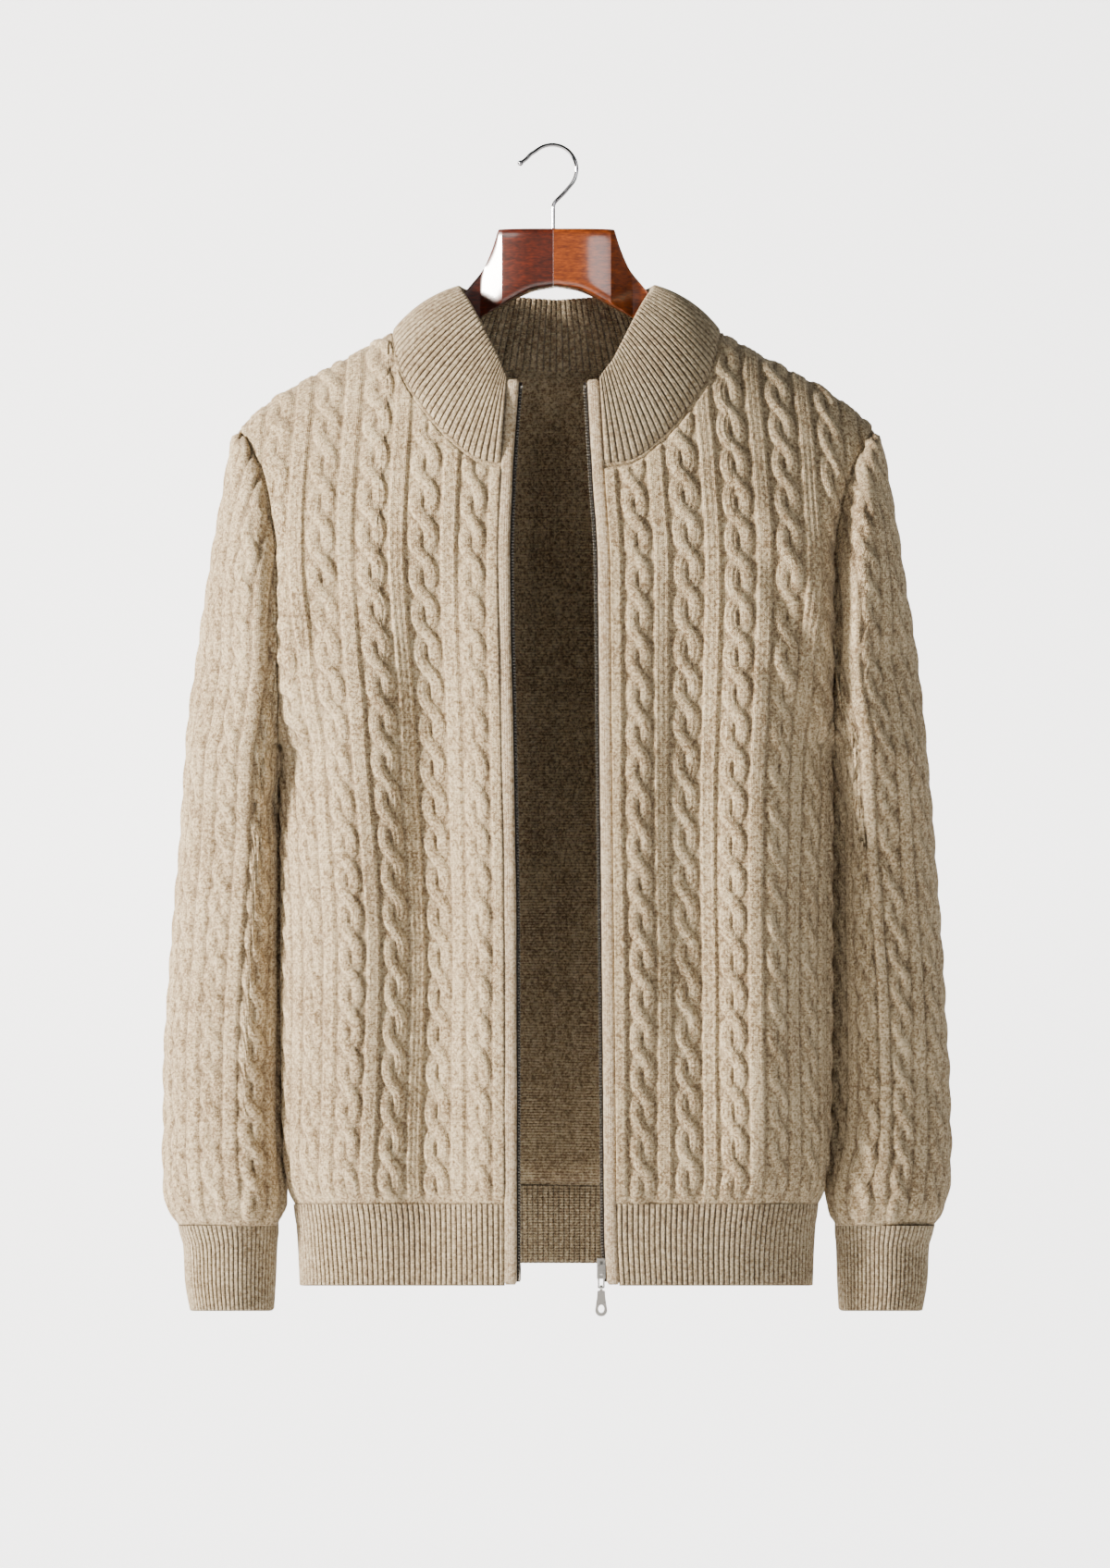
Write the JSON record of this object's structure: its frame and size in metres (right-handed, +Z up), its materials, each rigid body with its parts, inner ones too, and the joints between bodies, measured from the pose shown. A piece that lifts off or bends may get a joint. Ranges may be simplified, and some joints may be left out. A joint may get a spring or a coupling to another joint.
{
  "type": "cable knit zip cardigan on a wooden hanger",
  "caption": "Open zip-front cardigan in cable knit with a ribbed stand-up collar, cuffs and hem, hanging on a contoured wooden hanger with a wire hook.",
  "frame": {"origin": "inside top of the hanger's hook, where the rail touches it", "axes": "+Z up, the garment's front faces -Y, +X is to the right of someone facing the front"},
  "size_m": [0.5668, 0.1631, 0.8327],
  "materials": {
    "cable_knit": "heathered oatmeal wool knit, matt and slightly fuzzy",
    "rib_knit": "heathered oatmeal wool rib, matt",
    "zip_tape": "dark woven tape",
    "zip_metal": "polished nickel",
    "lacquered_wood": "red-brown stain under gloss lacquer",
    "hook_wire": "bright chrome"
  },
  "bodies": {
    "cardigan": {"front_left": "cable_knit", "front_right": "cable_knit", "back": "cable_knit", "sleeve_left": "cable_knit", "sleeve_right": "cable_knit", "collar": "rib_knit", "front_band_left": "rib_knit", "front_band_right": "rib_knit", "hem_rib_front_left": "rib_knit", "hem_rib_front_right": "rib_knit", "hem_rib_back": "rib_knit", "cuff_left": "rib_knit", "cuff_right": "rib_knit", "zip_tape_left": "zip_tape", "zip_tape_right": "zip_tape", "zip_slider": "zip_metal", "hanger_arm_left": "lacquered_wood", "hanger_arm_right": "lacquered_wood", "hanger_hook": "hook_wire"},
    "pull_link": {"pull_link": "zip_metal"},
    "pull_tab": {"pull_tab": "zip_metal"}
  },
  "joints": [
    {"name": "link_swing", "type": "hinge", "parent": "cardigan", "child": "pull_link", "pos_m": [0.0312, -0.0635, -0.7944], "axis": [-1, 0, 0], "range_deg": [0, 130]},
    {"name": "tab_swing", "type": "hinge", "parent": "pull_link", "child": "pull_tab", "pos_m": [0.0312, -0.0635, -0.8055], "axis": [-1, 0, 0], "range_deg": [-60, 45]}
  ]
}
